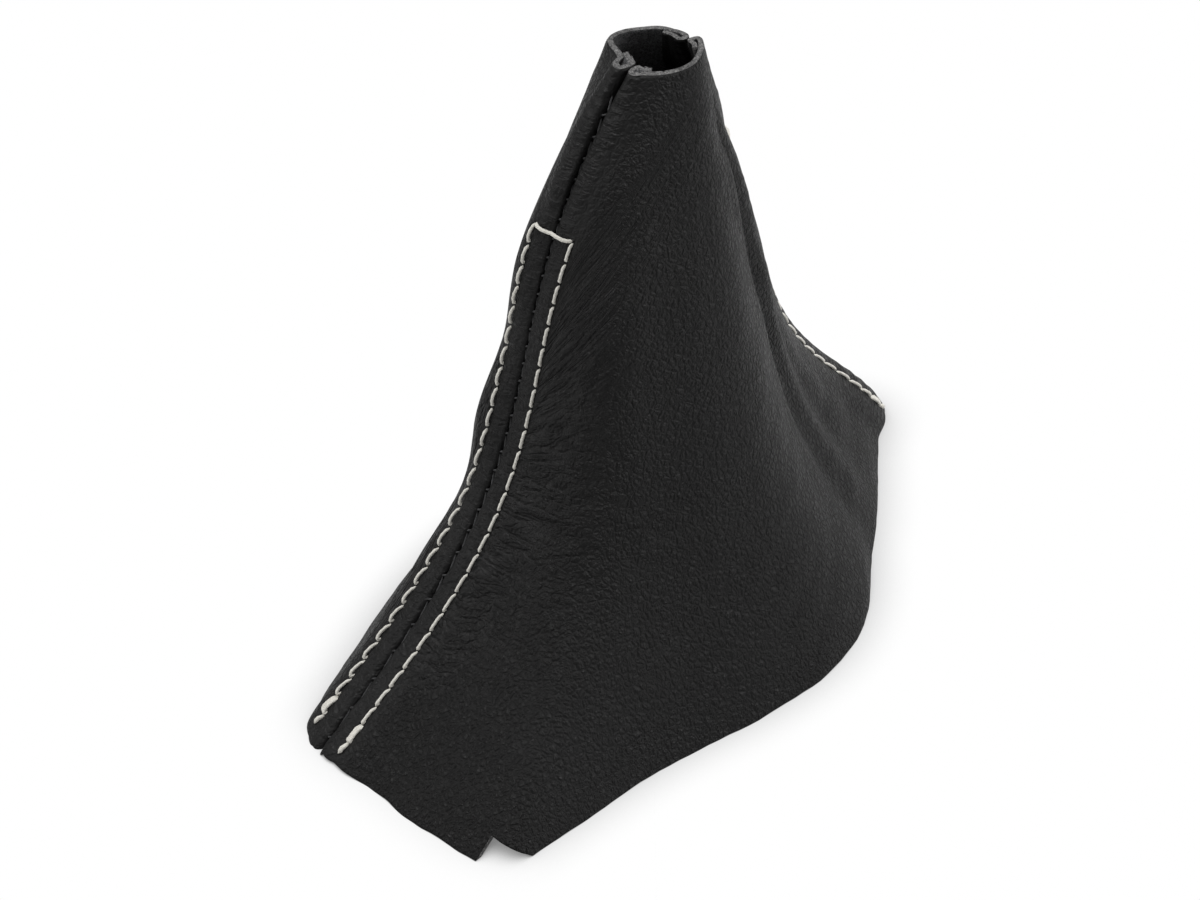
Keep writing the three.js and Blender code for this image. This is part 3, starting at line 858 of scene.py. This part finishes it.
def notch_heights(points, a):
    """How high the notch reaches in each column: a wedge that stands across the base edge, its point up."""
    place = FRONT_WIDTH + NOTCH_PLACE
    middle, ahead = main_wall.points(place + np.array([0, 1]), 0, 0)
    low = points[:NOTCH_ROWS]
    aside = np.abs((low - middle) @ (ahead - middle)) / np.linalg.norm(ahead - middle)
    above = low[:, :, 2] - NOTCH_DEPTH * (1 - aside / (NOTCH_WIDTH / 2))
    heights = np.zeros(points.shape[1])
    for column in np.flatnonzero((above[0] < 0) & (np.abs(a - place) < NOTCH_WIDTH)):
        heights[column] = np.interp(0, above[:, column], low[:, column, 2])
    return heights


def ragged_foot(a, seed):
    return RAGGED_FOOT * (1 + noise(a / 6, 0 * a, seed))


def ragged_rim(a, seed):
    return RAGGED_RIM * noise(a / 7, 0 * a, seed) - NECK_DIP


def build_main_panel():
    seams = (holes[main_front], PLAIN_ROLL), (holes[main_tail], PLAIN_ROLL)
    grain, back, places, looks = panel_grid(main_wall, main_shares(), main_relief, main_marks, *seams)
    a, on_face = places[0].T
    rise = EDGE_RISE * fade(a, EDGE_RISE_LENGTH, EDGE_RISE_LENGTH - EDGE_RISE_FADE)
    foot = (notch_heights(grain, a) + rise) * on_face + ragged_foot(a, 31)
    rim = ragged_rim(places[-1, :, 0], 32)
    grain, back = (reshape_ends(side, foot, rim) for side in (grain, back))
    return panel_mesh("main_panel_leather", grain, back, looks, (leather, suede, cut_edge))


def build_rear_panel():
    seams = (holes[rear_tail], PLAIN_ROLL), (holes[rear_front], OPEN_ROLL)
    shares = np.linspace(0, 1, 96)[1:-1]
    grain, back, places, looks = panel_grid(rear_wall, shares, rear_relief, rear_marks, *seams)
    foot = ragged_foot(places[0, :, 0], 33)
    rim = ragged_rim(places[-1, :, 0], 34)
    grain, back = (reshape_ends(side, foot, rim) for side in (grain, back))
    return panel_mesh("rear_panel_leather", grain, back, looks, (leather, suede, cut_edge))


# Threads.


def across_line(points):
    """Two directions across a line at each of its points, which don't twist along it."""
    along = np.gradient(points, axis=0)
    along /= np.linalg.norm(along, axis=1)[:, None]
    normal = np.cross(along[0], (0.3, 0.5, 0.8))
    normals = []
    for direction in along:
        normal = normal - direction * (normal @ direction)
        normal /= np.linalg.norm(normal)
        normals.append(normal)
    normals = np.array(normals)
    return normals, np.cross(along, normals)


def tube(name, points, radius, material, thickness=1, sides=10, strands=3, twist=1.6):
    """A twisted thread along points. Its section has a lobe for each strand, and turns once per twist."""
    points = np.asarray(points, float)
    normals, sideways = across_line(points)
    reached = np.concatenate([[0], np.cumsum(np.linalg.norm(np.diff(points, axis=0), axis=1))])
    angles = 2 * np.pi * np.arange(sides) / sides
    turn = 2 * np.pi * reached[:, None] / twist
    size = radius * (1 + 0.13 * np.cos(strands * angles[None] - turn))
    taper = np.minimum(1, np.minimum(reached, reached[-1] - reached) / radius + 0.15)
    size = size * (taper * thickness)[:, None]
    cosines, sines = np.cos(angles)[None, :, None], np.sin(angles)[None, :, None]
    ring = points[:, None] + size[..., None] * (cosines * normals[:, None] + sines * sideways[:, None])
    index = np.arange(len(points) * sides).reshape(len(points), sides)
    after = np.roll(index, -1, axis=1)
    quads = np.stack([index[:-1], after[:-1], after[1:], index[1:]], axis=-1).reshape(-1, 4).tolist()
    caps = [index[0, ::-1].tolist(), index[-1].tolist()]
    mesh = bpy.data.meshes.new(name)
    mesh.from_pydata((ring.reshape(-1, 3) * MM).tolist(), [], quads + caps)
    mesh.polygons.foreach_set("use_smooth", np.ones(len(mesh.polygons), bool))
    mesh.materials.append(material)
    mesh.update()
    return linked(name, mesh)


# One stitch seen from the side: shares of its length, and how far the thread is above the leather there.
STITCH_SHARES = np.array([0, 0.05, 0.085, 0.11, 0.13, 0.145, 0.165, 0.195, 0.26, 0.37, 0.5])
STITCH_RISES = np.array([-1.6, -1.5, -1.15, -0.75, -0.35, -0.02, 0.12, 0.17, 0.18, 0.18, 0.18])


def stitch(side, start, end, arch, aside=0):
    """The points of a stitch from one needle hole up to the next."""
    shares = np.concatenate([STITCH_SHARES, 1 - STITCH_SHARES[-2:0:-1]])
    rises = np.concatenate([STITCH_RISES, STITCH_RISES[-2:0:-1]]) + arch * np.sin(np.pi * shares) ** 2
    levels = (start + (end - start) * shares) / HEIGHT
    return [side(ROW_OFFSET + aside, level, LAYERS + rise) for level, rise in zip(levels, rises)]


def thread_end(side, first):
    """The blob that the thread is melted to, just past the row's first needle hole."""
    return [side(ROW_OFFSET, (first - drop) / HEIGHT, LAYERS + 0.4) for drop in (1.3, 0.9, 0.5)]


def stitch_row(side, heights, arch):
    """A row from its low end: the thread's end, two passes over the first stitch, and then the stitches."""
    points = thread_end(side, heights[0])
    points += stitch(side, heights[0], heights[1], arch, -0.4)
    points += stitch(side, heights[1], heights[0], arch, 0.4)
    for start, end in zip(heights, heights[1:]):
        points += stitch(side, start, end, arch)
    return points


def cross_stitch(right, left):
    """The straight stitch over the seam from the top of one row to the top of the other."""
    top = TOP_STITCH_HEIGHT / HEIGHT
    places = np.array([1, 0.97, 0.93, 0.88, 0.8, 0.6, 0.3, 0])
    rises = np.array([-1.6, -1.2, -0.5, 0.1, 0.55, 0.95, 1.1, 1.1])
    over = [right(ROW_OFFSET * place, top, LAYERS + rise) for place, rise in zip(places, rises)]
    down = [left(ROW_OFFSET * place, top, LAYERS + rise) for place, rise in zip(places, rises)]
    return over + down[-2::-1]


def top_thread(name, right, left, right_arch, left_arch):
    up = stitch_row(right, holes[right], right_arch)
    over = cross_stitch(right, left)
    down = stitch_row(left, holes[left], left_arch)[::-1]
    thickness = np.concatenate([np.ones(len(up)), np.full(len(over), 1.15), np.ones(len(down))])
    thickness[[0, 1, 2, -3, -2, -1]] = 1.5
    return tube(name, up + over + down, TOP_THREAD / 2, white_thread, thickness)


def smoothed(points):
    """A line through points, with its corners rounded a little."""
    line = respaced(np.array(points), int(len(points) * 1.6))
    line[1:-1] = (line[:-2] + 2 * line[1:-1] + line[2:]) / 4
    return line


def under_thread(name, right, left):
    """The bobbin thread of the same rows, which the needle thread draws up a little at each hole."""
    points = []
    for side, order in ((right, 1), (left, -1)):
        heights = np.linspace(holes[side][0], holes[side][-1], 2 * len(holes[side]) - 1)
        depths = -LEATHER - 0.1 - 0.25 * (np.arange(len(heights)) % 2)
        points += [side(ROW_OFFSET, z / HEIGHT, depth) for z, depth in zip(heights, depths)][::order]
    return tube(name, smoothed(points), SEAM_THREAD / 2, black_thread, sides=8)


# One stitch of the seam's own thread: shares of its length, how far it is aside, and how far it stands out.
SEAM_STITCH = ((0, -1.0, 0.15), (0.06, 0, 0.4), (0.12, 1.0, 0.15), (0.35, 0.2, -0.1), (0.65, -0.1, -0.12),
               (0.88, -0.4, -0.05))


def seam_thread(name, right, left):
    """The seam's own thread, low in the groove. It crosses between the turned edges at each stitch."""
    reach = BEND + SEAM_THREAD / 2 + 0.15
    out = LAYERS - BEND + math.sqrt(reach ** 2 - BEND_START ** 2)
    points = []
    for z in np.arange(2, HEIGHT - 3 - PULL_PITCH, PULL_PITCH):
        for share, aside, rise in SEAM_STITCH:
            level = (z + share * PULL_PITCH) / HEIGHT
            middle = (right(0, level, out + rise) + left(0, level, out + rise)) / 2
            sway = right(1, level, out) - right(0, level, out)
            points.append(middle + sway * aside)
    return tube(name, smoothed(points), SEAM_THREAD / 2, black_thread, sides=8)


# The object.

main_panel = build_main_panel()
rear_panel = build_rear_panel()
threads = {}
for seam, right, left, arches in (
    ("front", main_front, rear_front, (0.05, 0.55)), ("tail", rear_tail, main_tail, (0.3, 0.3)),
):
    threads[f"{seam}_top_thread"] = top_thread(f"{seam}_top_stitches", right, left, *arches)
    threads[f"{seam}_under_thread"] = under_thread(f"{seam}_under_stitches", right, left)
    threads[f"{seam}_seam_thread"] = seam_thread(f"{seam}_seam_stitches", right, left)

for panel, cad_node in ((main_panel, "main_panel"), (rear_panel, "rear_panel")):
    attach(panel, "root")
    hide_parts(cad_node)
for cad_node, thread in threads.items():
    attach(thread, "root")
    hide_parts(cad_node)


# Camera, light and floor.

CAMERA_TARGET = Vector((-48.05, -29.54, 90)) * MM
CAMERA_DISTANCE = 1.0
CAMERA_ELEVATION = math.radians(38)
CAMERA_HEADING = math.radians(44.87)
WORLD_LIGHT = 0.3


def add_camera():
    data = bpy.data.cameras.new("camera")
    data.sensor_width = 36
    data.lens = 129
    east, north = math.cos(CAMERA_HEADING), math.sin(CAMERA_HEADING)
    level = math.cos(CAMERA_ELEVATION)
    ahead = Vector((level * east, level * north, -math.sin(CAMERA_ELEVATION)))
    camera = bpy.data.objects.new("camera", data)
    camera.location = CAMERA_TARGET - ahead * CAMERA_DISTANCE
    camera.rotation_euler = ahead.to_track_quat("-Z", "Y").to_euler()
    bpy.context.scene.collection.objects.link(camera)
    bpy.context.scene.camera = camera


def add_lamp(name, place, size, power):
    data = bpy.data.lights.new(name, "AREA")
    data.shape = "DISK"
    data.size = size
    data.energy = power
    lamp = bpy.data.objects.new(name, data)
    lamp.location = Vector(place)
    lamp.rotation_euler = (Vector((0, 0, 0.07)) - lamp.location).to_track_quat("-Z", "Y").to_euler()
    bpy.context.scene.collection.objects.link(lamp)


def for_camera(tree, seen, lighting):
    """One shader for what the camera sees, and another for the light on the rest of the scene."""
    ray = node(tree, "ShaderNodeLightPath").outputs["Is Camera Ray"]
    return node(tree, "ShaderNodeMixShader", ray, lighting, seen).outputs[0]


def add_world():
    world = bpy.data.worlds.new("studio")
    world.use_nodes = True
    bpy.context.scene.world = world
    tree = world.node_tree
    shown = tree.nodes["Background"]
    shown.inputs["Color"].default_value = (1, 1, 1, 1)
    lighting = node(tree, "ShaderNodeBackground", Color=(1, 1, 1, 1), Strength=WORLD_LIGHT)
    mix = for_camera(tree, shown.outputs[0], lighting.outputs[0])
    tree.links.new(mix, tree.nodes["World Output"].inputs["Surface"])


def floor_material():
    """White paper. For the camera it glows white, and ambient occlusion darkens that glow near the object
    into a painted shadow at its foot; all other rays see plain diffuse paper.
    """
    material, tree, shader = new_material("paper")
    shader.inputs["Base Color"].default_value = (0.8, 0.8, 0.8, 1)
    shader.inputs["Roughness"].default_value = 1
    # Painted shadow: the glow the camera sees is darkened by ambient occlusion within 12 mm of the object.
    contact = node(tree, "ShaderNodeAmbientOcclusion", Distance=12 * MM)
    glow = node(tree, "ShaderNodeEmission", contact.outputs["Color"])
    mix = for_camera(tree, glow.outputs[0], shader.outputs[0])
    tree.links.new(mix, tree.nodes["Material Output"].inputs["Surface"])
    return material


def add_floor():
    bpy.ops.mesh.primitive_plane_add(size=8)
    floor = bpy.context.object
    floor.name = "floor"
    floor.data.materials.append(floor_material())


add_camera()
add_lamp("key", (1.1, -0.75, 0.9), 0.6, 12.5)
add_lamp("top", (0.1, 0.4, 1.5), 0.9, 14)
add_lamp("fill", (-0.9, 0.9, 0.8), 0.7, 5)
add_world()
add_floor()
bpy.context.scene.view_settings.view_transform = "Standard"
